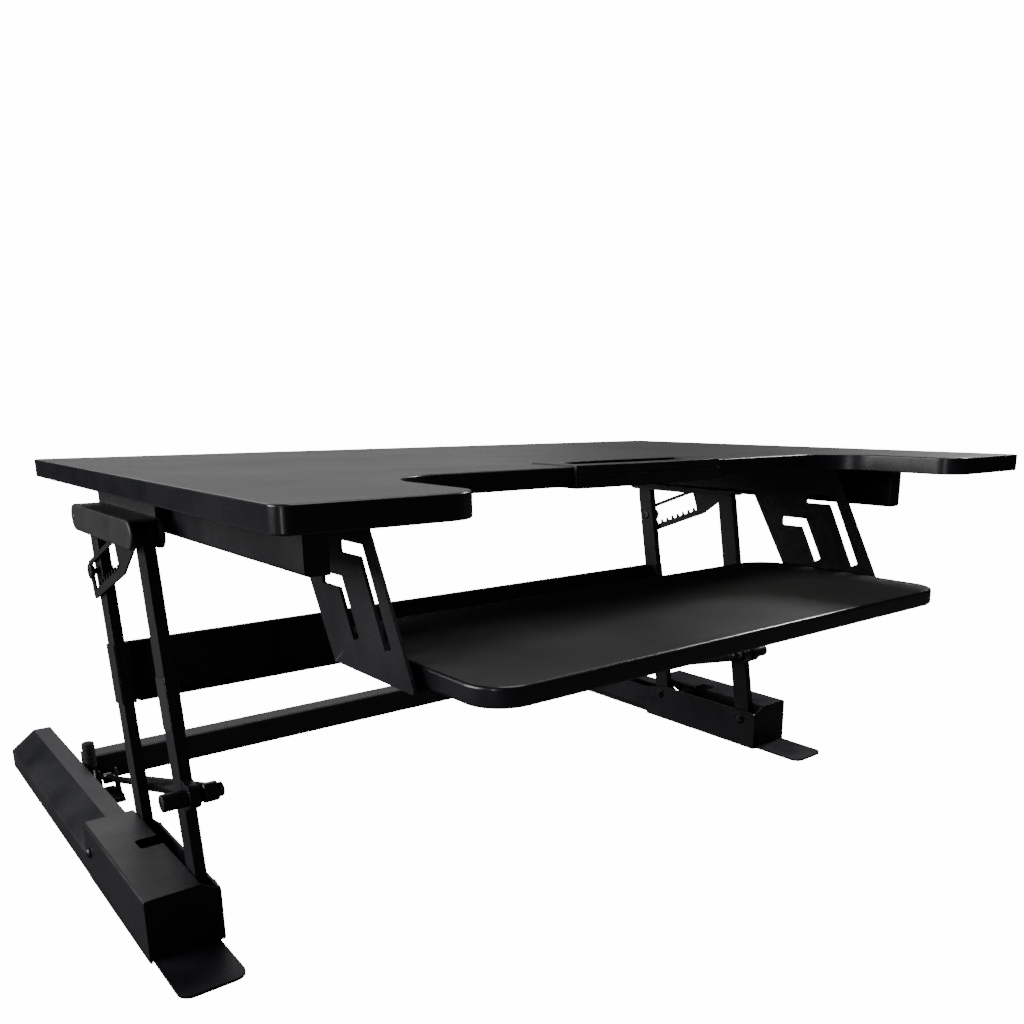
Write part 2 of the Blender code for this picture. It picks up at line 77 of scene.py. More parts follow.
# the cross pin in the front arm's frame: along the arm, and in front of it
CROSS_S = (CROSS.y - LOW_FRONT.y) * math.sin(LEAN) + (CROSS.z - LOW_FRONT.z) * math.cos(LEAN)
CROSS_V = (CROSS.y - LOW_FRONT.y) * math.cos(LEAN) - (CROSS.z - LOW_FRONT.z) * math.sin(LEAN)

# the gas spring's line, from the cross pin to the centre of the rod's eye
SPRING_X = ROD_HI.x - 0.0050
SPRING_END = Vector((0, ROD_HI.y - 0.0070, ROD_LO.z + 0.0070))
SPRING_LEN = math.hypot(SPRING_END.y - CROSS.y, SPRING_END.z - CROSS.z)
SLOPE = math.atan2(SPRING_END.z - CROSS.z, SPRING_END.y - CROSS.y)

# ------------------------------------------------------------------ sizes shared by several pieces
TOP_Z = DECK_HI.z
UNDER = DECK_LO.z - 0.0004
RECESS_HALF, RECESS_Y = 0.301, -0.3206
INSERT_HALF, INSERT_BACK, INSERT_GAP = 0.098, -0.2586, 0.0006
ARM_X, STRUT_X = (0.3990, 0.4100), (0.4115, 0.4135)
ARM_HALF, ARM_TOP = 0.013, 0.0105
PIN_BELOW = 0.056
PIVOT_BORE, PIN_BORE, CROSS_BORE = 0.0043, 0.0033, 0.0088
ROUND = 2 * math.pi


# ------------------------------------------------------------------ materials
def new_material(name, color, rough, metal=0.0, spec=0.5, coat=0.0, coat_rough=0.2):
    made = bpy.data.materials.new(name)
    made.use_nodes = True
    shader = made.node_tree.nodes["Principled BSDF"]
    shader.inputs["Base Color"].default_value = (*color, 1)
    shader.inputs["Roughness"].default_value = rough
    shader.inputs["Metallic"].default_value = metal
    shader.inputs["Specular IOR Level"].default_value = spec
    shader.inputs["Coat Weight"].default_value = coat
    shader.inputs["Coat Roughness"].default_value = coat_rough
    return made, made.node_tree, shader


def coords(tree, stretch=(1, 1, 1)):
    where = tree.nodes.new("ShaderNodeTexCoord")
    scale = tree.nodes.new("ShaderNodeMapping")
    scale.inputs["Scale"].default_value = stretch
    tree.links.new(where.outputs["Object"], scale.inputs["Vector"])
    return scale.outputs["Vector"]


def noise(tree, at, scale, detail=3.0, rough=0.5):
    node = tree.nodes.new("ShaderNodeTexNoise")
    node.inputs["Scale"].default_value = scale
    node.inputs["Detail"].default_value = detail
    node.inputs["Roughness"].default_value = rough
    tree.links.new(at, node.inputs["Vector"])
    return node.outputs["Fac"]


def cells(tree, at, scale):
    node = tree.nodes.new("ShaderNodeTexVoronoi")
    node.inputs["Scale"].default_value = scale
    tree.links.new(at, node.inputs["Vector"])
    return node.outputs["Distance"]


def roughen(tree, shader, value, low, high):
    """Roughness from low to high as the value goes from 0.3 to 0.7."""
    node = tree.nodes.new("ShaderNodeMapRange")
    node.inputs["From Min"].default_value = 0.3
    node.inputs["From Max"].default_value = 0.7
    node.inputs["To Min"].default_value = low
    node.inputs["To Max"].default_value = high
    tree.links.new(value, node.inputs["Value"])
    tree.links.new(node.outputs["Result"], shader.inputs["Roughness"])


def tint(tree, shader, value, dark, light, start=0.35, end=0.65):
    """Base colour from dark to light as the value goes from start to end."""
    node = tree.nodes.new("ShaderNodeValToRGB")
    node.color_ramp.elements[0].position = start
    node.color_ramp.elements[0].color = (*dark, 1)
    node.color_ramp.elements[1].position = end
    node.color_ramp.elements[1].color = (*light, 1)
    tree.links.new(value, node.inputs["Fac"])
    tree.links.new(node.outputs["Color"], shader.inputs["Base Color"])


def bumps(tree, shader, layers):
    """Layers of (height, strength, distance), stacked into the shader's normal."""
    normal = None
    for height, strength, distance in layers:
        node = tree.nodes.new("ShaderNodeBump")
        node.inputs["Strength"].default_value = strength
        node.inputs["Distance"].default_value = distance
        tree.links.new(height, node.inputs["Height"])
        if normal:
            tree.links.new(normal, node.inputs["Normal"])
        normal = node.outputs["Normal"]
    tree.links.new(normal, shader.inputs["Normal"])


def laminate():
    """Satin laminate: a fine pebble and a soft mottle. Its tone is lifted well above the edging's as painted light,
    so the board's flat faces read lighter than its rim.
    """
    made, tree, shader = new_material("satin laminate", (0.024, 0.024, 0.025), 0.5, spec=0.32)
    at = coords(tree)
    fine = noise(tree, at, 1400, 2, 0.6)
    pebble = cells(tree, at, 900)
    wide = noise(tree, at, 7, 4, 0.6)
    tint(tree, shader, wide, (0.0205, 0.0200, 0.0200), (0.0270, 0.0265, 0.0265))
    roughen(tree, shader, wide, 0.47, 0.58)
    bumps(tree, shader, [(pebble, 0.22, 0.00012), (fine, 0.18, 0.00010)])
    return made


def edging_with_painted_shade():
    """Plastic edging: smoother and glossier than the laminate, with a faint drift of colour. Its colour is kept much
    darker than the laminate's as painted shade on the board's rims.
    """
    made, tree, shader = new_material("edge banding with painted shade", (0.008, 0.008, 0.011), 0.26, spec=0.5)
    drift = noise(tree, coords(tree, (5, 5, 40)), 1.0, 1, 0.4)
    at = coords(tree)
    tint(tree, shader, drift, (0.0070, 0.0071, 0.0098), (0.0090, 0.0091, 0.0125))
    roughen(tree, shader, noise(tree, at, 22, 3), 0.24, 0.30)
    bumps(tree, shader, [(noise(tree, at, 1200, 2), 0.05, 0.0001)])
    return made


def powder(name="powder coat", worn=False):
    """Powder coat on steel: orange peel and a fine grain. Worn is the thinner, rubbed film on folds."""
    made, tree, shader = new_material(name, (0.010, 0.010, 0.012), 0.42, spec=0.42)
    at = coords(tree)
    peel = noise(tree, at, 420, 2, 0.5)
    grain = noise(tree, at, 1700, 2, 0.6)
    if worn:
        rub = noise(tree, at, 95, 5, 0.7)
        tint(tree, shader, rub, (0.009, 0.009, 0.012), (0.034, 0.034, 0.038), 0.5, 0.75)
        roughen(tree, shader, rub, 0.40, 0.26)
    else:
        wide = noise(tree, at, 14, 4, 0.6)
        tint(tree, shader, wide, (0.0052, 0.0053, 0.0076), (0.0088, 0.0089, 0.0120))
        roughen(tree, shader, wide, 0.34, 0.46)
    bumps(tree, shader, [(peel, 0.25, 0.0002), (grain, 0.2, 0.0001)])
    return made


def plastic(name="moulded plastic", worn=False):
    """Plastic with a spark-eroded texture. Worn is the paler, smoother film on rims."""
    made, tree, shader = new_material(name, (0.010, 0.010, 0.011), 0.48, spec=0.4)
    at = coords(tree)
    texture = cells(tree, at, 1500)
    wide = noise(tree, at, 30, 4, 0.6)
    light = (0.026, 0.026, 0.028) if worn else (0.0130, 0.0130, 0.0140)
    tint(tree, shader, wide, (0.0090, 0.0090, 0.0100), light)
    roughen(tree, shader, wide, *((0.36, 0.42) if worn else (0.44, 0.55)))
    bumps(tree, shader, [(texture, 0.3, 0.00015)])
    return made


def glossy(name, rough, coat):
    """Gloss surface with faint smears and a trace of waviness."""
    made, tree, shader = new_material(name, (0.006, 0.006, 0.007), rough, coat=coat, coat_rough=0.06)
    smear = noise(tree, coords(tree, (1, 1, 0.25)), 60, 5, 0.65)
    roughen(tree, shader, smear, rough * 0.8, rough * 1.9)
    tint(tree, shader, smear, (0.005, 0.005, 0.006), (0.009, 0.009, 0.010))
    bumps(tree, shader, [(noise(tree, coords(tree), 130, 1), 0.08, 0.0002)])
    return made


def steel(name, dark, light, rough):
    """Bare or zinc-plated steel with turning marks and blotches."""
    made, tree, shader = new_material(name, dark, rough, metal=1.0)
    blotch = noise(tree, coords(tree), 160, 5, 0.65)
    marks = noise(tree, coords(tree, (2600, 160, 160)), 1.0, 2)
    tint(tree, shader, blotch, dark, light)
    roughen(tree, shader, blotch, rough * 0.8, rough * 1.3)
    bumps(tree, shader, [(marks, 0.2, 0.0001)])
    return made


def rubber():
    """Dull rubber, a little dusty."""
    made, tree, shader = new_material("rubber", (0.013, 0.013, 0.013), 0.85, spec=0.3)
    at = coords(tree)
    dust = noise(tree, at, 130, 5, 0.7)
    tint(tree, shader, dust, (0.010, 0.010, 0.010), (0.026, 0.026, 0.025), 0.45, 0.75)
    roughen(tree, shader, dust, 0.75, 0.93)
    bumps(tree, shader, [(noise(tree, at, 900, 3), 0.3, 0.0002)])
    return made


# each slot's materials: the faces, then the rims and folds
FINISH = {
    # laminate faces painted lighter and edging painted darker, as painted light and shade
    "laminate": [laminate(), edging_with_painted_shade()],
    "powder_coat": [powder(), powder("powder coat, folds", True)],
    "plastic": [plastic(), plastic("moulded plastic, rims", True)],
    "gloss_sleeve": [glossy("gloss sleeve", 0.10, 0.6)],
    "gloss_paint": [glossy("gloss paint", 0.20, 0.4)],
    "steel_rod": [steel("ground rod", (0.10, 0.10, 0.11), (0.17, 0.17, 0.18), 0.22)],
    "black_steel": [steel("black zinc", (0.035, 0.035, 0.040), (0.075, 0.072, 0.072), 0.36)],
    "rubber": [rubber()],
}


# ------------------------------------------------------------------ outlines
def arc(before, p, after, r, steps):
    """The corner p between two neighbours, turned into an arc of radius r."""
    a, b = (before - p).normalized(), (after - p).normalized()
    half = a.angle(b) / 2
    reach = r / math.tan(half)
    centre = p + (a + b).normalized() * (r / math.sin(half))
    start, end = p + a * reach - centre, p + b * reach - centre
    sweep = start.angle_signed(end)
    out = []
    for k in range(steps + 1):
        t = -sweep * k / steps
        c, s = math.cos(t), math.sin(t)
        out.append((centre.x + start.x * c - start.y * s, centre.y + start.x * s + start.y * c))
    return out


def rounded(points, steps=8):
    """The outline with each corner (x, y, radius) turned into an arc. A corner (x, y) stays sharp."""
    out = []
    for i, point in enumerate(points):
        p = Vector(point[:2])
        if len(point) > 2:
            after = points[(i + 1) % len(points)]
            out += arc(Vector(points[i - 1][:2]), p, Vector(after[:2]), point[2], steps)
        else:
            out.append(tuple(p))
    return out


def rounded_box(x, y, r, steps=5):
    return rounded([(x[0], y[0], r), (x[1], y[0], r), (x[1], y[1], r), (x[0], y[1], r)], steps)


def sheet(line, t):
    """The closed outline of an open line of points and the same line set off by t to its left."""
    pts = [Vector(p) for p in line]
    off = []
    for i, p in enumerate(pts):
        before = (p - pts[i - 1]).normalized() if i else None
        after = (pts[i + 1] - p).normalized() if i + 1 < len(pts) else None
        one, two = before or after, after or before
        n1, n2 = Vector((-one.y, one.x)), Vector((-two.y, two.x))
        m = (n1 + n2).normalized()
        off.append(p + m * (t / max(0.2, m.dot(n1))))
    return [tuple(p) for p in pts] + [tuple(p) for p in reversed(off)]


def folded(line, t, r, steps=5):
    """A folded sheet's outline. r is the radius inside each fold, and the sheet lies to the line's left."""
    pts = [Vector(p) for p in line]
    out = [tuple(pts[0])]
    for a, p, b in zip(pts, pts[1:], pts[2:]):
        turns_left = (p - a).cross(b - p) > 0
        out += arc(a, p, b, r + t if turns_left else r, steps)
    return sheet(out + [tuple(pts[-1])], t)


def ring(r, n=32, centre=(0, 0), start=0.0):
    angles = [start + ROUND * k / n for k in range(n)]
    return [(centre[0] + r * math.cos(a), centre[1] + r * math.sin(a)) for a in angles]


def half_turn(r, centre, start, n, way=1, squash=1.0):
    """Half a ring from the angle start, drawn one way or the other, its height scaled by squash."""
    angles = [start + way * math.pi * k / n for k in range(n + 1)]
    return [(centre[0] + r * math.cos(a), centre[1] + r * squash * math.sin(a)) for a in angles]


def bowed(x0, x1, y, rise, steps=28):
    """Points from x0 to x1 on a line at y that bows by rise in its middle."""
    return [(x0 + (x1 - x0) * k / steps, y + rise * math.sin(math.pi * k / steps)) for k in range(steps + 1)]


# ------------------------------------------------------------------ solids
def prism(points, axis, a, b):
    """A prism on a closed outline: (y, z) for axis X, (x, z) for Y, (x, y) for Z."""
    place = {
        "X": lambda p, h: (h, p[0], p[1]),
        "Y": lambda p, h: (p[0], h, p[1]),
        "Z": lambda p, h: (p[0], p[1], h),
    }[axis]
    bm = bmesh.new()
    low = [bm.verts.new(place(p, a)) for p in points]
    high = [bm.verts.new(place(p, b)) for p in points]
    bm.faces.new(low)
    bm.faces.new(high[::-1])
    for i in range(len(points)):
        j = (i + 1) % len(points)
        bm.faces.new((low[j], low[i], high[i], high[j]))
    bmesh.ops.recalc_face_normals(bm, faces=bm.faces)
    return bm


def box(x, y, z):
    x = sorted(x)
    return prism([(x[0], y[0]), (x[1], y[0]), (x[1], y[1]), (x[0], y[1])], "Z", *z)


def turned(profile, centre=(0, 0), axis="X", n=40):
    """A solid of revolution. The profile is (place along the axis, radius), and its ends are closed."""
    place = {
        "X": lambda h, u, v: (h, centre[0] + u, centre[1] + v),
        "Y": lambda h, u, v: (centre[0] + u, h, centre[1] + v),
        "Z": lambda h, u, v: (centre[0] + u, centre[1] + v, h),
    }[axis]
    bm = bmesh.new()
    loops = [[bm.verts.new(place(h, *p)) for p in ring(r, n)] for h, r in profile]
    bm.faces.new(loops[0])
    bm.faces.new(loops[-1][::-1])
    for one, two in zip(loops, loops[1:]):
        for k in range(n):
            j = (k + 1) % n
            bm.faces.new((one[j], one[k], two[k], two[j]))
    bmesh.ops.recalc_face_normals(bm, faces=bm.faces)
    return bm


def hexagon(r, axis, a, b, centre=(0, 0), turn=0.0):
    """A hexagonal prism with its corners at radius r."""
    return prism(ring(r, 6, centre, turn), axis, a, b)


def hole(r, a, b, centre=(0, 0), n=24, axis="X"):
    """A round tool along an axis, for a bore or a boss."""
    return prism(ring(r, n, centre), axis, a, b)


# ------------------------------------------------------------------ pieces
def home(side=1):
    """The object's own frame, mirrored for the left side."""
    return side, (0, 0, 0), 0.0


def scratch(bm, at):
    """An object with the shape mirrored by its side, turned about X and set at its origin."""
    side, origin, turn = at
    place = Matrix.Translation(origin) @ Matrix.Rotation(turn, 4, "X") @ Matrix.Diagonal((side, 1, 1, 1))
    bmesh.ops.transform(bm, matrix=place, verts=bm.verts)
    bmesh.ops.recalc_face_normals(bm, faces=bm.faces)
    mesh = bpy.data.meshes.new("scratch")
    bm.to_mesh(mesh)
    bm.free()
    made = bpy.data.objects.new("scratch", mesh)
    bpy.context.scene.collection.objects.link(made)
    return made


def settle(target):
    """Puts the object's evaluated mesh in place of its own and takes its modifiers off."""
    graph = bpy.context.evaluated_depsgraph_get()
    mesh = bpy.data.meshes.new_from_object(target.evaluated_get(graph))
    old = target.data
    target.modifiers.clear()
    target.data = mesh
    bpy.data.meshes.remove(old)


def shape(made, at, joins, cuts):
    """Adds the joins and takes off the cuts, then leaves only faces that the bevel can work on."""
    helpers = []
    for operation, group in (("UNION", joins), ("DIFFERENCE", cuts)):
        for other in group:
            helpers.append(scratch(other, at))
            mod = made.modifiers.new("shape", "BOOLEAN")
            mod.operation, mod.solver, mod.object = operation, "EXACT", helpers[-1]
    if helpers:
        settle(made)
        for helper in helpers:
            mesh = helper.data
            bpy.data.objects.remove(helper)
            bpy.data.meshes.remove(mesh)
    clean = bmesh.new()
    clean.from_mesh(made.data)
    bmesh.ops.remove_doubles(clean, verts=clean.verts, dist=1e-6)
    if cuts:
        bmesh.ops.triangulate(clean, faces=[f for f in clean.faces if len(f.verts) > 4])
    else:
        flat = math.radians(0.8)
        bmesh.ops.dissolve_limit(clean, angle_limit=flat, verts=clean.verts, edges=clean.edges)
    clean.to_mesh(made.data)
    clean.free()


def smooth(made, pick):
    """Smooth faces with sharp edges kept, and pick, if given, choosing each face's material."""
    shade = bmesh.new()
    shade.from_mesh(made.data)
    for face in shade.faces:
        face.smooth = True
        if pick:
            face.material_index = pick(face.normal)
    for edge in shade.edges:
        edge.smooth = len(edge.link_faces) == 2 and edge.calc_face_angle(0) < math.radians(48)
    shade.to_mesh(made.data)
    shade.free()
    mod = made.modifiers.new("normals", "WEIGHTED_NORMAL")
    mod.keep_sharp = True
    settle(made)


def piece(name, bm, slot, body, stands_for=(), at=home(), joins=(), cuts=(), bevel=0.0005, segments=2, pick=None):
    """One visible piece: joined, cut, its edges rounded, its normals smoothed, then set riding on its body."""
    made = scratch(bm, at)
    shape(made, at, joins, cuts)
    mats = FINISH[slot]
    made.data.materials.clear()
    for mat in mats:
        made.data.materials.append(mat)
    if bevel:
        mod = made.modifiers.new("edges", "BEVEL")
        mod.width, mod.segments = bevel, segments
        mod.limit_method, mod.angle_limit = "ANGLE", math.radians(35)
        mod.material = 1 if len(mats) > 1 and not pick else 0
        settle(made)
    smooth(made, pick)
    made.name = made.data.name = name
    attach(made, body)
    if stands_for:
        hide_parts(*stands_for)
    return made


def screw(name, body, at, side, r=0.0042, head=0.0021, axis="Z", down=-1):
    """A button-head screw with a hexagonal socket. at is the seat of its head, and down the way the head stands."""
    flat = {"X": (at[1], at[2]), "Z": (at[0], at[1])}[axis]
    base = {"X": at[0], "Z": at[2]}[axis]
    dome = ((0, 0.98), (0.25, 1), (0.6, 0.88), (0.9, 0.62), (1, 0.42))
    profile = [(base + down * head * height, r * width) for height, width in dome]
    deep, out = sorted((base + down * head * 0.35, base + down * (head + 0.002)))
    socket = hexagon(r * 0.5, axis, deep, out, centre=flat)
    return piece(name, turned(profile, flat, axis, 32), "black_steel", body, at=home(side),
                 cuts=[socket], bevel=0.00012, segments=1)


# ------------------------------------------------------------------ work surface, insert and tray
def laminate_or_edging_with_painted_shade(normal):
    """Laminate on a board's flat faces, and edging round its rim. The rim's colour is much darker than the faces',
    which paints shade on the rim and light on the flat faces.
    """
    return 0 if abs(normal.z) > 0.93 else 1


def work_surface():
    wide, front, back, tight = DECK_HI.x, DECK_LO.y, DECK_HI.y, 0.0015
    outline = [
        (-wide, back, 0.010), (-wide, front, 0.012), (-RECESS_HALF, front, 0.028), (-RECESS_HALF, RECESS_Y, 0.060),
        (-INSERT_HALF, RECESS_Y, tight), (-INSERT_HALF, INSERT_BACK, tight),
        (INSERT_HALF, INSERT_BACK, tight), (INSERT_HALF, RECESS_Y, tight),
        (RECESS_HALF, RECESS_Y, 0.060), (RECESS_HALF, front, 0.028), (wide, front, 0.012), (wide, back, 0.010),
    ]
    piece("work_surface", prism(rounded(outline, 14), "Z", DECK_LO.z, TOP_Z), "laminate", "upper_deck", ["desktop"],
          bevel=0.0022, segments=4, pick=laminate_or_edging_with_painted_shade)


def insert():
    """The moulding in the middle of the recess, with a slot for a tablet and a shallow groove round its nose."""
    half, back = INSERT_HALF - INSERT_GAP, INSERT_BACK - INSERT_GAP
    nose = bowed(half, -half, RECESS_Y - 0.004, -0.005)
    slot = bowed(-0.084, 0.084, -0.3050, -0.006) + bowed(0.084, -0.084, -0.2790, 0.008)[1:-1]
    groove = [(x, y - 0.0006) for x, y in nose] + [(x, y + 0.0009) for x, y in reversed(nose)]
    body = prism([(-half, back), (half, back)] + nose, "Z", TOP_Z - 0.0200, TOP_Z + 0.0012)
    piece("insert_moulding", body, "plastic", "upper_deck", ["device_insert"], cuts=[
        prism(slot, "Z", TOP_Z - 0.0110, TOP_Z + 0.010), prism(groove, "Z", TOP_Z - 0.0078, TOP_Z - 0.0070),
    ], bevel=0.0012, segments=3)


def tray():
    front, back = 0.034, 0.045
    outline = [(TRAY_LO.x, TRAY_LO.y, front), (TRAY_HI.x, TRAY_LO.y, front),
               (TRAY_HI.x, TRAY_HI.y, back), (TRAY_LO.x, TRAY_HI.y, back)]
    piece("tray_board", prism(rounded(outline, 16), "Z", TRAY_LO.z, TRAY_HI.z), "laminate", "upper_deck",
          ["keyboard_tray"], bevel=0.0030, segments=4, pick=laminate_or_edging_with_painted_shade)


# ------------------------------------------------------------------ brackets, rails and housings under the deck
BRACKET_SLANT, BRACKET_LOW, BRACKET_T = 0.52, TRAY_LO.z - 0.0028, 0.0028


def bracket_front(z):
    return -0.3295 + (z - 0.4076) * BRACKET_SLANT


def bracket_rear(z):
    return -0.2071 + (z - 0.3910) * BRACKET_SLANT


def bracket_slot(line):
    return prism(rounded([(*p, 0.0018) for p in sheet(line, 0.0104)], 5), "X", 0.300, 0.330)


def tray_bracket(word, side):
    """A slanted plate with two stepped slots, a flange out under the deck and one in under the tray."""
    face = [(bracket_front(BRACKET_LOW), BRACKET_LOW, 0.003), (bracket_rear(BRACKET_LOW), BRACKET_LOW, 0.003),
            (bracket_rear(UNDER) + 0.012, UNDER, 0.002), (bracket_front(UNDER), UNDER, 0.002)]
    top_y = (bracket_front(UNDER) + 0.004, bracket_rear(UNDER) + 0.008)
    low_y = (bracket_front(BRACKET_LOW) + 0.004, bracket_rear(BRACKET_LOW) - 0.004)
    high, mid, foot = bracket_front(0.392), bracket_front(0.366), bracket_front(0.315)
    slots = [bracket_slot([(high + 0.056, 0.392), (high + 0.016, 0.392), (foot + 0.018, 0.315)]),
             bracket_slot([(mid + 0.104, 0.362), (mid + 0.068, 0.362), (foot + 0.070, 0.315)])]
    flanges = [prism(rounded_box((0.3110, 0.3420), top_y, 0.005), "Z", UNDER - BRACKET_T, UNDER),
               prism(rounded_box((0.2760, 0.3130), low_y, 0.005), "Z", BRACKET_LOW, BRACKET_LOW + 0.0024)]
    piece(f"bracket_plate_{word}", prism(rounded(face, 5), "X", 0.3105, 0.3135), "powder_coat", "upper_deck",
          [f"tray_bracket_{word}"], home(side), joins=flanges, cuts=slots, bevel=0.0007, segments=3)
    for k in range(3):
        low_at = (0.2885, low_y[0] + 0.018 + k * 0.042, BRACKET_LOW)
        top_at = (0.3300, top_y[0] + 0.018 + k * 0.046, UNDER - BRACKET_T)
        screw(f"tray_screw_{word}_{k}", "upper_deck", low_at, side)
        screw(f"bracket_screw_{word}_{k}", "upper_deck", top_at, side)


def side_rail(word, side):
    lo, hi, inset = SIDE_RAIL_LO, SIDE_RAIL_HI, 0.0005
    profile = folded([(lo.x, lo.z), (hi.x, lo.z), (hi.x, hi.z), (lo.x, hi.z)], 0.0024, 0.0016)
    near, far = lo.x + 0.0003, hi.x - 0.0003
    cap = rounded([(near, lo.z + inset, 0.001), (far, lo.z + inset, 0.003),
                   (far, hi.z - inset, 0.003), (near, hi.z - inset, 0.001)], 5)
    piece(f"rail_channel_{word}", prism(profile, "Y", lo.y, hi.y), "powder_coat", "upper_deck",
          [f"side_rail_{word}"], home(side), joins=[prism(cap, "Y", lo.y, lo.y + 0.0024)])
    for k in range(4):
        screw(f"rail_screw_{word}_{k}", "upper_deck", (lo.x + 0.0085, lo.y + 0.045 + k * 0.130, hi.z - 0.0026), side)


def housing(word, side):
    """A slim moulded shell over the top pivots, rounded on its outer rim and hung from the deck by a web."""
    half, soft = 0.0140, 0.0022
    y0, y1, z = HIGH_FRONT.y - 0.010, HIGH_REAR.y + 0.012, HIGH_REAR.z
    outline = half_turn(half, (y1, z), math.pi / 2, 20, -1) + half_turn(half, (y0, z), -math.pi / 2, 20, -1)
    shell = prism(outline, "X", 0.3922, 0.4225)
    rim = [e for e in shell.edges if all(v.co.x > 0.42 for v in e.verts)]
    bmesh.ops.bevel(shell, geom=rim, offset=soft, segments=4, profile=0.5, affect="EDGES")
    ceiling = z + half - soft
    hollow = [(y0 - 0.06, z - 0.05), (y1 + 0.0085, z - 0.05), (y1 + 0.0085, z + 0.004),
              (y1 + 0.001, ceiling), (y0 - 0.06, ceiling)]
    web = box((0.3925, 0.3955), (HIGH_FRONT.y - 0.010, HIGH_REAR.y + 0.018), (z, UNDER))
    flange = box((0.3927, 0.4180), (HIGH_FRONT.y - 0.012, HIGH_REAR.y + 0.020), (UNDER - 0.003, UNDER))
    bores = [hole(PIVOT_BORE, 0.38, 0.41, (p.y, z)) for p in (HIGH_FRONT, HIGH_REAR)]
    piece(f"pivot_housing_{word}", shell, "plastic", "upper_deck", [f"upper_housing_{word}"], home(side),
          joins=[web, flange], cuts=[prism(hollow, "X", 0.3955, 0.4200)] + bores)
    screw(f"housing_screw_{word}", "upper_deck", (0.4224, y1 + 0.002, z), side, 0.0030, 0.0011, "X", 1)


def top_pivots(word, side):
    profile = [(0.3875, 0.0044), (0.3879, 0.0060), (0.3888, 0.0073), (0.3900, 0.0075), (0.3919, 0.0075),
               (0.3919, 0.0040), (0.4150, 0.0040), (0.4155, 0.0034)]
    for end, p in (("front", HIGH_FRONT), ("rear", HIGH_REAR)):
        centre = (p.y, HIGH_REAR.z)
        piece(f"top_pivot_{end}_{word}", turned(profile, centre, n=36), "black_steel", "upper_deck",
              [f"top_bolt_{end}_{word}"], home(side), cuts=[hexagon(0.0030, "X", 0.3860, 0.3896, centre)],
              bevel=0.00012, segments=1)


# ------------------------------------------------------------------ arms, in their own frame: Z runs up the arm
def bar():
    """An arm's outline: straight sides with a round foot, and a narrower round top."""
    neck = ARM - 0.022
    top = half_turn(ARM_TOP, (0, ARM), math.pi, 18, -1)
    return [(-ARM_HALF, neck)] + top + [(ARM_HALF, neck)] + half_turn(ARM_HALF, (0, 0), 0, 18, -1)


def arm_bores(*spots):
    return [hole(r, 0.38, 0.44, (v, s)) for v, s, r in spots]


def rear_arm(word, side):
    at = (side, LOW_REAR, -LEAN)
    s = ARM - PIN_BELOW
    piece(f"rear_bar_{word}", prism(bar(), "X", *ARM_X), "powder_coat", "rear_arms", [f"rear_arm_{word}"], at,
          cuts=arm_bores((0, 0, PIVOT_BORE), (0, ARM, PIVOT_BORE), (0, s, PIN_BORE)), bevel=0.0014, segments=3)
    pin = [(0.3962, 0.0047), (0.3966, 0.0055), (0.3987, 0.0055), (0.3987, 0.0030), (0.4139, 0.0030),
           (0.4141, 0.0050), (0.4146, 0.0055), (0.4158, 0.0080), (0.4163, 0.0085), (0.4182, 0.0085),
           (0.4190, 0.0080), (0.4195, 0.0068)]
    flutes = [hole(0.0014, 0.4150, 0.4200, spot, 12) for spot in ring(0.0092, 10, (0, s))]
    piece(f"ratchet_knob_{word}", turned(pin, (0, s)), "black_steel", "rear_arms", [f"ratchet_pin_{word}"], at,
          cuts=flutes + [hexagon(0.0028, "X", 0.4182, 0.42, (0, s))], bevel=0.00015, segments=1)


def front_arm(word, side):
    """The front arm, which has a lug in front that holds the cross pin, and a drum each side of its top."""
    at, body = (side, LOW_FRONT, -LEAN), f"front_arm_{word}"
    lug = half_turn(0.0118, (CROSS_V, CROSS_S), math.pi / 2, 18)
    lug += [(-0.010, CROSS_S - 0.0160), (-0.010, CROSS_S + 0.0160)]
    drum, top = 0.0112, (0, ARM)
    piece(f"front_bar_{word}", prism(bar(), "X", *ARM_X), "powder_coat", body, [f"front_arm_{word}"], at,
          joins=[prism(lug, "X", ARM_X[0] + 0.0006, ARM_X[1] - 0.0006),
                 hole(drum, 0.3962, 0.4000, top, 36), hole(drum, 0.4090, 0.4111, top, 36)],
          cuts=arm_bores((0, 0, PIVOT_BORE), (0, ARM, PIVOT_BORE), (CROSS_V, CROSS_S, CROSS_BORE)),
          bevel=0.0012, segments=3)


def arm_sleeve(word, side):
    x0, x1, v = ARM_X[0] - 0.0003, ARM_X[1] + 0.0003, ARM_HALF + 0.0003
    wall_x, wall_v = 0.0006, 0.0008
    skin = rounded_box((x0 - wall_x, x1 + wall_x), (-v - wall_v, v + wall_v), 0.0012)
    bore = rounded_box((x0, x1), (-v, v), 0.0007, 4)
    piece(f"gloss_sleeve_{word}", prism(skin, "Z", 0.160, 0.211), "gloss_sleeve", f"front_arm_{word}",
          [f"arm_sleeve_{word}"], (side, LOW_FRONT, -LEAN), cuts=[prism(bore, "Z", 0.1, 0.3)], bevel=0.00025)


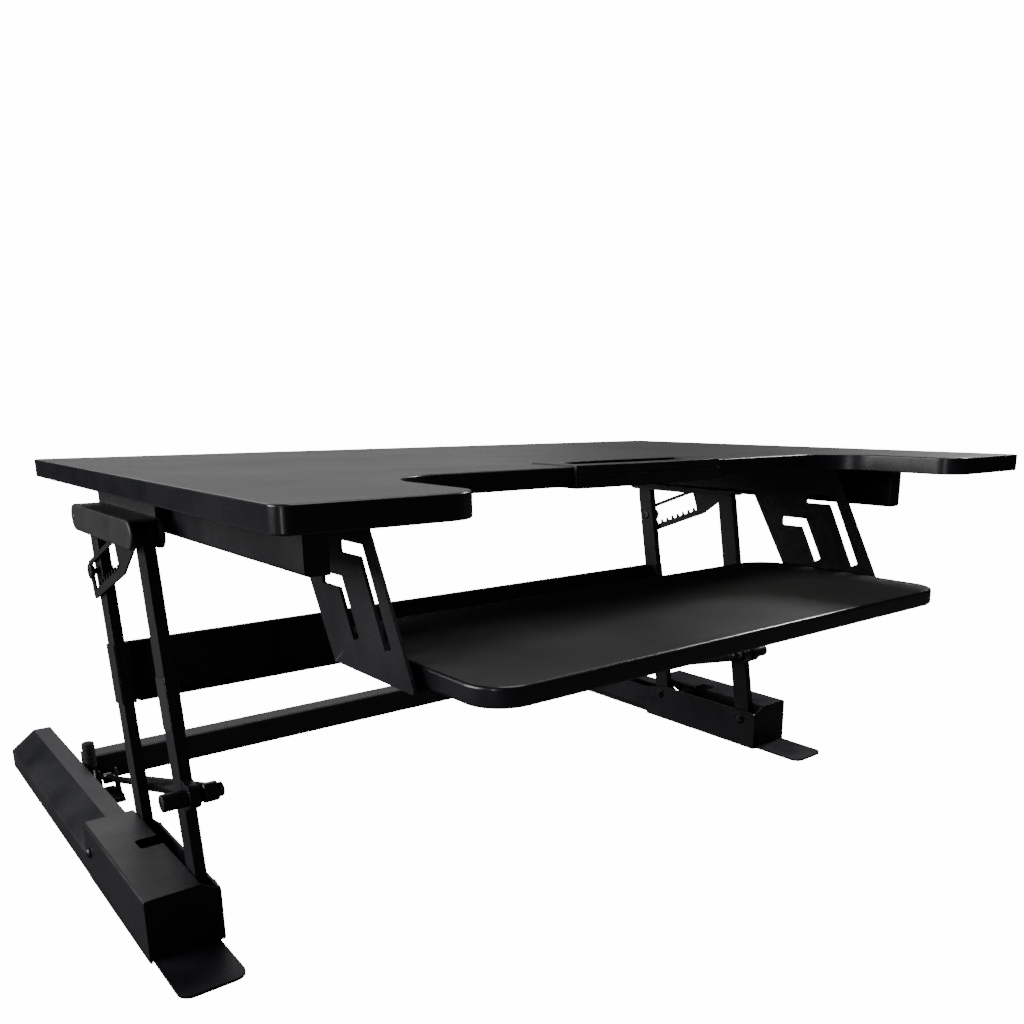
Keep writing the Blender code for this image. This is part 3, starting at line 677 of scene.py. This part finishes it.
def cross_pin(word, side):
    """A long boss through the lug, a ball end for the spring on its inner side, and a screw in its outer end."""
    at, body, c = (side, LOW_FRONT, -LEAN), f"front_arm_{word}", (CROSS_V, CROSS_S)
    boss = [(0.3968, 0.0070), (0.3972, 0.0079), (0.3980, 0.0085), (0.3986, 0.0085), (0.4103, 0.0085),
            (0.4103, 0.0080), (0.4112, 0.0080), (0.4112, 0.0085), (0.4312, 0.0085), (0.4321, 0.0080),
            (0.4325, 0.0070)]
    piece(f"cross_boss_{word}", turned(boss, c), "powder_coat", body, [f"cross_pin_{word}"], at,
          joins=[hole(0.0048, 0.3790, 0.3975, c)], cuts=[hole(0.0050, 0.4313, 0.434, c, 32)],
          bevel=0.0002, segments=1)
    ball = [(0.3753, 0.0040), (0.3757, 0.0056), (0.3764, 0.0067), (0.3774, 0.0072), (0.3786, 0.0071),
            (0.3793, 0.0064)]
    piece(f"cross_nut_{word}", turned(ball, c), "black_steel", body, (), at,
          cuts=[hexagon(0.0030, "X", 0.374, 0.3766, c)], bevel=0)
    end = [(0.4314, 0.0047), (0.4320, 0.0047), (0.4324, 0.0040)]
    piece(f"cross_end_{word}", turned(end, c), "black_steel", body, (), at,
          cuts=[hexagon(0.0024, "X", 0.4318, 0.434, c)], bevel=0)


def cross_panel():
    """A folded channel behind the rear arms, with a leaf behind each arm and one on each side of it."""
    low, high, t = 0.145, 0.2105, 0.0029
    front, back = -0.004, ARM_HALF + 0.0035
    channel = folded([(front, low), (back, low), (back, high), (front, high)], t, 0.0014)
    leaves = []
    for side in (1, -1):
        leaves.append(box((0.3890 * side, 0.4110 * side), (back - t, back), (low + 0.0003, high - 0.0003)))
    for side in (-1, 1):
        for x in ((0.4103, 0.41095), (0.3962, 0.3985)):
            leaves.append(box((x[0] * side, x[1] * side), (-ARM_HALF, back - 0.0003), (low + 0.0005, high - 0.0005)))
    piece("panel_channel", prism(channel, "X", -0.3900, 0.3900), "powder_coat", "rear_arms", ["cross_panel"],
          (1, LOW_REAR, -LEAN), joins=leaves, bevel=0.00035)


# ------------------------------------------------------------------ ratchet struts, in their own frame: Y runs along
def strut_outline():
    under, low, top, hub = -0.0262, 0.0098, 0.0146, 0.0100
    around_hub = half_turn(hub, (0, 0), math.pi / 2, 16)
    blade = [(0.0, 0.0), (0.058, under, 0.010), (0.192, under, 0.004), (0.192, low - 0.002, 0.004),
             (0.189, top, 0.003), (0.030, top, 0.010)]
    return around_hub + rounded(blade, 5)[1:]


def strut_window():
    """The window, whose lower edge has a row of teeth."""
    tip, base, low, start, stop, pitch = -0.0126, -0.0176, 0.0098, 0.072, 0.180, 0.0118
    line = [(start, low, 0.0015), (start, base, 0.001)]
    for k in range(8):
        y = start + 0.004 + k * pitch
        line += [(y, base), (y + 0.0012, tip), (y + 0.0034, tip), (y + 0.0050, base)]
    return rounded(line + [(stop, base, 0.001), (stop, low, 0.003)], 4)


def ratchet_strut(word, side):
    dy = HIGH_REAR.y - HIGH_FRONT.y - PIN_BELOW * math.sin(LEAN)
    dz = -PIN_BELOW * math.cos(LEAN)
    at = (side, HIGH_FRONT, math.atan2(dz, dy))
    piece(f"toothed_strut_{word}", prism(strut_outline(), "X", *STRUT_X), "powder_coat", f"ratchet_strut_{word}",
          [f"ratchet_strut_{word}"], at, joins=[hole(0.0104, 0.4125, 0.4196, n=36)],
          cuts=[prism(strut_window(), "X", 0.405, 0.425), hole(PIVOT_BORE, 0.405, 0.425)], bevel=0.0003)


# ------------------------------------------------------------------ gas springs, in their own frame: Y runs back
def gas_spring(word, side):
    at, c, x = (side, CROSS, SLOPE), (SPRING_X, 0), SPRING_X
    cylinder, rod = f"gas_cylinder_{word}", f"gas_rod_{word}"
    tube = [(0.0070, 0.0050), (0.0100, 0.0060), (0.0125, 0.0077), (0.0150, 0.0082), (0.2510, 0.0082),
            (0.2522, 0.0077), (0.2540, 0.0077), (0.2552, 0.0082), (0.2610, 0.0082), (0.2640, 0.0075),
            (0.2650, 0.0064)]
    socket = [(x - 0.0070, 0.0088), (x - 0.0063, 0.0095), (x + 0.0063, 0.0095), (x + 0.0070, 0.0088)]
    piece(f"spring_tube_{word}", turned(tube, c, "Y"), "gloss_paint", cylinder, [cylinder], at,
          joins=[turned(socket)],
          cuts=[hole(0.0060, 0.030, 0.280, c, 32, "Y"), hole(0.0051, x - 0.015, x + 0.015)],
          bevel=0.0002, segments=1)
    gland = [(0.2590, 0.0058), (0.2644, 0.0058), (0.2648, 0.0050)]
    piece(f"spring_gland_{word}", turned(gland, c, "Y", 32), "rubber", cylinder, (), at,
          cuts=[hole(0.0043, 0.25, 0.28, c, axis="Y")], bevel=0)

    end = SPRING_LEN
    shaft = [(0.225, 0.0036), (0.2256, 0.0040), (end - 0.016, 0.0040), (end - 0.016, 0.0036), (end - 0.004, 0.0036)]
    eye = [(x - 0.0050, 0.0064), (x - 0.0044, 0.0070), (x + 0.0044, 0.0070), (x + 0.0050, 0.0064)]
    stud = [(x - 0.0090, 0.0030), (x - 0.0085, 0.0035), (x - 0.0040, 0.0035)]
    piece(f"spring_rod_{word}", turned(shaft, c, "Y", 32), "steel_rod", rod, [rod], at,
          joins=[turned(eye, (end, 0)), turned(stud, (end, 0), n=24)], bevel=0.0002, segments=1)
    piece(f"rod_nut_{word}", hexagon(0.0064, "Y", end - 0.0145, end - 0.0100, c, 0.2), "black_steel", rod, (), at,
          bevel=0.0004)


# ------------------------------------------------------------------ base
RAIL_X, RAIL_TAB = (0.3995, 0.4590), 0.3922
CASE_IN, CASE_FRONT_IN, INNER_WALL = 0.4112, 0.3960, (0.3930, 0.3955)


def base_beam():
    lo, hi = BEAM_LO, BEAM_HI
    profile = folded([(hi.y, hi.z), (lo.y, hi.z), (lo.y, lo.z), (hi.y, lo.z)], 0.0026, 0.0018)
    ends = [box((0.4005 * s, 0.4034 * s), (lo.y + 0.0006, hi.y - 0.0004), (lo.z + 0.0006, hi.z - 0.0006))
            for s in (-1, 1)]
    piece("beam_channel", prism(profile, "X", lo.x, hi.x), "powder_coat", "base", ["base_beam"], joins=ends,
          bevel=0.0004)


def foot_rail(word, side):
    """The flat sole of a foot, with ears for the low pivots, a low inner wall, and tabs for wall and beam."""
    inn, out = RAIL_X
    front, back, toe = RAIL_LO.y, RAIL_HI.y, CASE_LO.y
    sole = [(out, back, 0.004), (out, front, 0.012), (inn, front, 0.012), (inn, toe, 0.002),
            (RAIL_TAB, toe, 0.003), (RAIL_TAB, 0.070, 0.003), (inn, 0.070, 0.002), (inn, 0.246, 0.002),
            (RAIL_LO.x, 0.246, 0.003), (RAIL_LO.x, 0.3048, 0.003), (inn, 0.3048, 0.002), (inn, back, 0.004)]
    start = toe + 0.0005
    wall = [(start, 0.003), (0.0695, 0.003), (0.0695, 0.0470, 0.004), (0.0600, 0.0500, 0.010),
            (0.0260, 0.0560, 0.020), (start, 0.0560, 0.004)]
    joins = [box((0.4122, 0.4147), (0.075, back - 0.006), (0.0033, 0.040)),
             prism(rounded(wall, 6), "X", *INNER_WALL),
             box((0.3950, CASE_IN), (0.0660, 0.0690), (0.0050, 0.0300))]
    pivots = [(LOW_FRONT.y, LOW_REAR.z), (LOW_REAR.y, LOW_REAR.z)]
    for y, z in pivots:
        arch = half_turn(0.0150, (y, z + 0.0010), 0, 20, squash=0.0125 / 0.0150)
        joins.append(prism([(y - 0.0175, 0.003), (y + 0.0175, 0.003)] + arch, "X", 0.4114, 0.4139))
    piece(f"rail_plate_{word}", prism(rounded(sole, 6), "Z", 0.0023, 0.0053), "powder_coat", "base",
          [f"foot_rail_{word}"], home(side), joins=joins, cuts=[hole(PIVOT_BORE, 0.38, 0.43, p) for p in pivots],
          bevel=0.0006)


def foot_cover(word, side):
    """The long rear cover, with a sloped outer face and a closed back end."""
    out, top, shoulder, sharp = COVER_HI.x, COVER_HI.z, 0.4320, 0.0004
    shell = folded([(out, 0.0028), (out, 0.0260), (shoulder, top), (0.4110, top)], 0.0022, 0.0012, 4)
    end = rounded([(out - 0.0005, 0.0030, sharp), (out - 0.0005, 0.0255, 0.0030),
                   (shoulder + 0.0002, top - 0.0004, 0.0030), (CASE_IN, top - 0.0004, sharp),
                   (CASE_IN, 0.0030, sharp)], 4)
    piece(f"cover_shell_{word}", prism(shell, "Y", COVER_LO.y, COVER_HI.y), "powder_coat", "base",
          [f"foot_cover_{word}"], home(side), joins=[prism(end, "Y", COVER_HI.y - 0.0025, COVER_HI.y - 0.0002)],
          bevel=0.0006)


def foot_casing(word, side):
    """The casing over the low pivots: a folded cover, a front wall, a rear wall above the cover, and a notch."""
    front, back, top, sharp = CASE_LO.y, CASE_HI.y, CASE_HI.z, 0.0004
    out, under, step_z = CASE_HI.x - 0.0004, top - 0.0004, COVER_HI.z + 0.0005
    shell = folded([(CASE_HI.x, 0.0028), (CASE_HI.x, top), (CASE_IN, top)], 0.0024, 0.0010, 5)
    wall = rounded([(out, 0.0060, sharp), (out, under, 0.0030), (CASE_IN, under, 0.0020),
                    (CASE_FRONT_IN, 0.0560, 0.0020), (CASE_FRONT_IN, 0.0060, 0.0010)], 4)
    step = rounded([(out, 0.0270, sharp), (out, under, 0.0030), (0.4115, under, sharp),
                    (0.4115, step_z, sharp), (0.4320, step_z)], 4)
    notch = rounded([(0.400, -0.0450, 0.002), (0.4330, -0.0450, 0.004),
                     (0.4330, -0.0215, 0.004), (0.400, -0.0215, 0.002)], 5)
    piece(f"casing_shell_{word}", prism(shell, "Y", front, back), "powder_coat", "base",
          [f"foot_casing_{word}"], home(side),
          joins=[prism(wall, "Y", front + 0.0002, front + 0.0026), prism(step, "Y", back - 0.0026, back - 0.0002)],
          cuts=[prism(notch, "Z", 0.05, 0.08)], bevel=0.0006, segments=3)
    lo, hi = CASE_BOLT_LO, CASE_BOLT_HI
    seat = (lo.x, (lo.y + hi.y) / 2, (lo.z + hi.z) / 2)
    made = screw(f"casing_screw_{word}", "base", seat, side, (hi.z - lo.z) / 2, hi.x - lo.x, "X", 1)
    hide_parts(f"casing_bolt_{word}")


def low_pivots(word, side):
    for end, p in (("front", LOW_FRONT), ("rear", LOW_REAR)):
        c = (p.y, p.z)
        stem = turned([(0.3875, 0.0034), (0.3879, 0.0040), (0.4153, 0.0040), (0.4160, 0.0034)], c, n=28)
        washer = turned([(0.3915, 0.0084), (0.3928, 0.0084)], c, n=36)
        piece(f"low_pivot_{end}_{word}", hexagon(0.0076, "X", 0.3887, 0.3915, c, 0.35), "black_steel", "base",
              [f"low_bolt_{end}_{word}"], home(side), joins=[stem, washer], bevel=0.0003)


def spring_anchor(word, side):
    """An upright channel for the spring's rear end, with its upper corners cut away."""
    lo, hi, past = ANCHOR_LO, ANCHOR_HI, 0.001
    channel = folded([(lo.x, hi.z), (lo.x, lo.z), (hi.x, lo.z), (hi.x, hi.z)], 0.0022, 0.0014)
    back = rounded([(hi.y + past, hi.z + past), (hi.y - 0.008, hi.z + past), (hi.y + past, hi.z - 0.008)], 3)
    front = [(lo.y - past, hi.z + past), (lo.y + 0.024, hi.z + past), (lo.y + 0.010, lo.z + 0.006),
             (lo.y - past, lo.z + 0.006)]
    piece(f"anchor_channel_{word}", prism(channel, "Y", lo.y, hi.y), "powder_coat", "base",
          [f"spring_anchor_{word}"], home(side),
          cuts=[prism(corner, "X", lo.x - past, hi.x + past) for corner in (back, front)])


def bump_stop(word, side):
    """A ribbed rubber stop on a threaded stem with a nut."""
    centre = ((STOP_LO.x + STOP_HI.x) / 2, (STOP_LO.y + STOP_HI.y) / 2)
    low, top, at = STOP_LO.z, STOP_HI.z, home(side)
    ribs = [(top - 0.0350, 0.0070)]
    for k in range(5):
        h = top - 0.0342 + k * 0.0062
        ribs += [(h, 0.0078), (h + 0.0040, 0.0078), (h + 0.0046, 0.0070), (h + 0.0056, 0.0070)]
    ribs += [(top - 0.0030, 0.0078), (top - 0.0014, 0.0072), (top - 0.0004, 0.0056), (top, 0.0034)]
    piece(f"stop_buffer_{word}", turned(ribs, centre, "Z"), "rubber", "base", [f"bump_stop_{word}"], at, bevel=0)
    thread, pitch = [(low, 0.0050)], 0.0016
    for k in range(16):
        thread += [(low + 0.0072 + k * pitch, 0.0046), (low + 0.0080 + k * pitch, 0.0052)]
    thread.append((top - 0.0351, 0.0046))
    piece(f"stop_stem_{word}", turned(thread, centre, "Z"), "black_steel", "base", (), at, bevel=0)
    piece(f"stop_nut_{word}", hexagon(0.0078, "Z", low, low + 0.0060, centre, 0.2), "black_steel", "base", (), at,
          bevel=0.0004)


def rubber_feet(word, side):
    pad = [(0.0, 0.0034), (0.0004, 0.0040), (0.0004, 0.0062), (0.0, 0.0068), (0.0, 0.0100), (0.0006, 0.0110),
           (0.0014, 0.0110), (0.0020, 0.0104)]
    for end in ("front", "rear"):
        lo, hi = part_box(f"pad_{end}_right")
        centre = ((lo.x + hi.x) / 2, (lo.y + hi.y) / 2)
        piece(f"rubber_foot_{end}_{word}", turned(pad, centre, "Z"), "rubber", "base", [f"pad_{end}_{word}"],
              home(side), bevel=0)


# ------------------------------------------------------------------ the whole object
def on_each_side(*makers):
    for word, side in SIDES:
        for make in makers:
            make(word, side)


work_surface()
insert()
tray()
on_each_side(tray_bracket, side_rail, housing, top_pivots)
on_each_side(rear_arm, front_arm, arm_sleeve, cross_pin)
cross_panel()
on_each_side(ratchet_strut)
on_each_side(gas_spring)
base_beam()
on_each_side(foot_rail, foot_cover, foot_casing, low_pivots, spring_anchor, bump_stop, rubber_feet)

# ------------------------------------------------------------------ floor, light and camera
CAMERA_WHITE = 15.0
FLOOR_HALF = 14


def white_to_camera(tree, dim, kind, out):
    """The studio is white to the camera, and dim to the surfaces it lights."""
    white = tree.nodes.new(kind)
    white.inputs["Color"].default_value = (1, 1, 1, 1)
    white.inputs["Strength"].default_value = CAMERA_WHITE
    mix = tree.nodes.new("ShaderNodeMixShader")
    tree.links.new(tree.nodes.new("ShaderNodeLightPath").outputs["Is Camera Ray"], mix.inputs["Fac"])
    tree.links.new(dim, mix.inputs[1])
    tree.links.new(white.outputs[0], mix.inputs[2])
    tree.links.new(mix.outputs["Shader"], tree.nodes[out].inputs["Surface"])


floor = bpy.data.objects.new("floor", bpy.data.meshes.new("floor"))
bm = bmesh.new()
bmesh.ops.create_grid(bm, x_segments=1, y_segments=1, size=FLOOR_HALF)
bm.to_mesh(floor.data)
bm.free()
bpy.context.scene.collection.objects.link(floor)
pale, tree, shader = new_material("pale floor", (0.07, 0.07, 0.07), 0.8, spec=0.05)
white_to_camera(tree, shader.outputs["BSDF"], "ShaderNodeEmission", "Material Output")
floor.data.materials.append(pale)

world = bpy.data.worlds.new("studio")
bpy.context.scene.world = world
world.use_nodes = True
sky = world.node_tree.nodes["Background"]
sky.inputs["Color"].default_value = (0.70, 0.80, 1, 1)
sky.inputs["Strength"].default_value = 0.03
white_to_camera(world.node_tree, sky.outputs["Background"], "ShaderNodeBackground", "World Output")


def area(name, at, target, size, power, color=(1, 1, 1)):
    light = bpy.data.lights.new(name, "AREA")
    light.shape, light.size, light.size_y = "RECTANGLE", *size
    light.energy, light.color = power, color
    made = bpy.data.objects.new(name, light)
    bpy.context.scene.collection.objects.link(made)
    made.location = at
    made.rotation_mode = "QUATERNION"
    made.rotation_quaternion = (Vector(target) - Vector(at)).to_track_quat("-Z", "Y")


area("left", (-2.8, 0.9, 1.3), (0, 0, 0.25), (2.4, 1.6), 125, (1, 0.99, 0.98))
area("back", (0.6, 2.6, 2.0), (0, 0, 0.4), (3.2, 1.8), 26)
area("top", (0.5, -0.5, 3.2), (0, -0.2, 0.3), (1.6, 1.6), 42, (1, 0.98, 0.95))
area("right", (2.6, 0.1, 2.1), (0, -0.3, 0.4), (0.5, 0.5), 60)
area("strip", (-1.9, -1.5, 0.75), (-0.4, -0.4, 0.4), (0.10, 1.3), 6)

camera = bpy.data.objects.new("camera", bpy.data.cameras.new("camera"))
bpy.context.scene.collection.objects.link(camera)
bpy.context.scene.camera = camera
camera.location = (-0.6501, -0.9728, 0.4948)
camera.rotation_euler = (math.radians(75.936), math.radians(0.035), math.radians(-39.943))
camera.data.lens = 32.55
camera.data.shift_x, camera.data.shift_y = -0.0547, 0.125
camera.data.clip_start = 0.02
